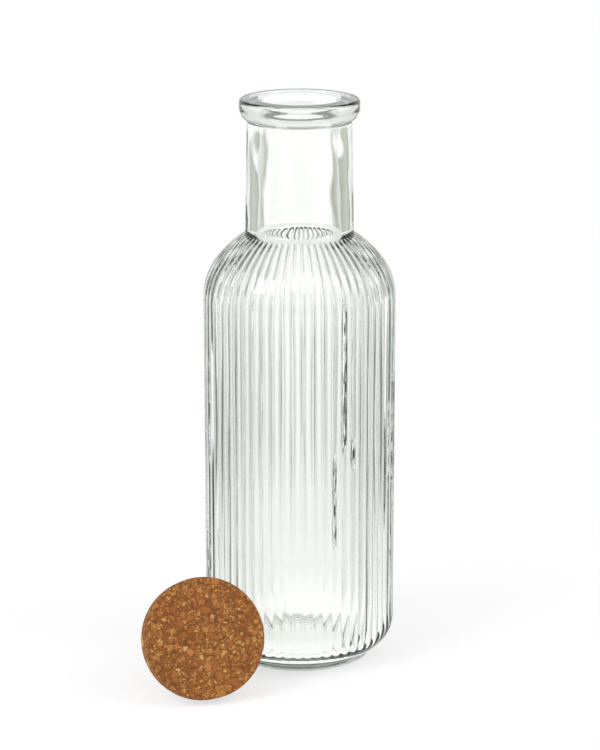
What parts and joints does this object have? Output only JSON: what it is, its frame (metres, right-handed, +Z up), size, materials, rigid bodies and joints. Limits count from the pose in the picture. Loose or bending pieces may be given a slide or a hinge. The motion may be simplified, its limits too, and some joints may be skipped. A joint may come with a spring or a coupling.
{
  "type": "ribbed glass carafe bottle with cork lid",
  "caption": "Clear glass bottle with upright ribs, a plain neck and a thick mouth ring, empty, with its cork lid lying beside it.",
  "frame": {"origin": "on the bottle's axis, in the plane its foot ring stands on", "axes": "+Z up the bottle's axis, -Y to the front, where the lid lies, +X to the right"},
  "size_m": [0.1178, 0.1254, 0.268],
  "materials": {
    "clear_glass": "clear, glossy, faintly grey-green where thick",
    "cork": "matt agglomerated cork with tan grains"
  },
  "bodies": {
    "root": {"bottle": "clear_glass", "cork_lid": "cork"}
  },
  "joints": []
}
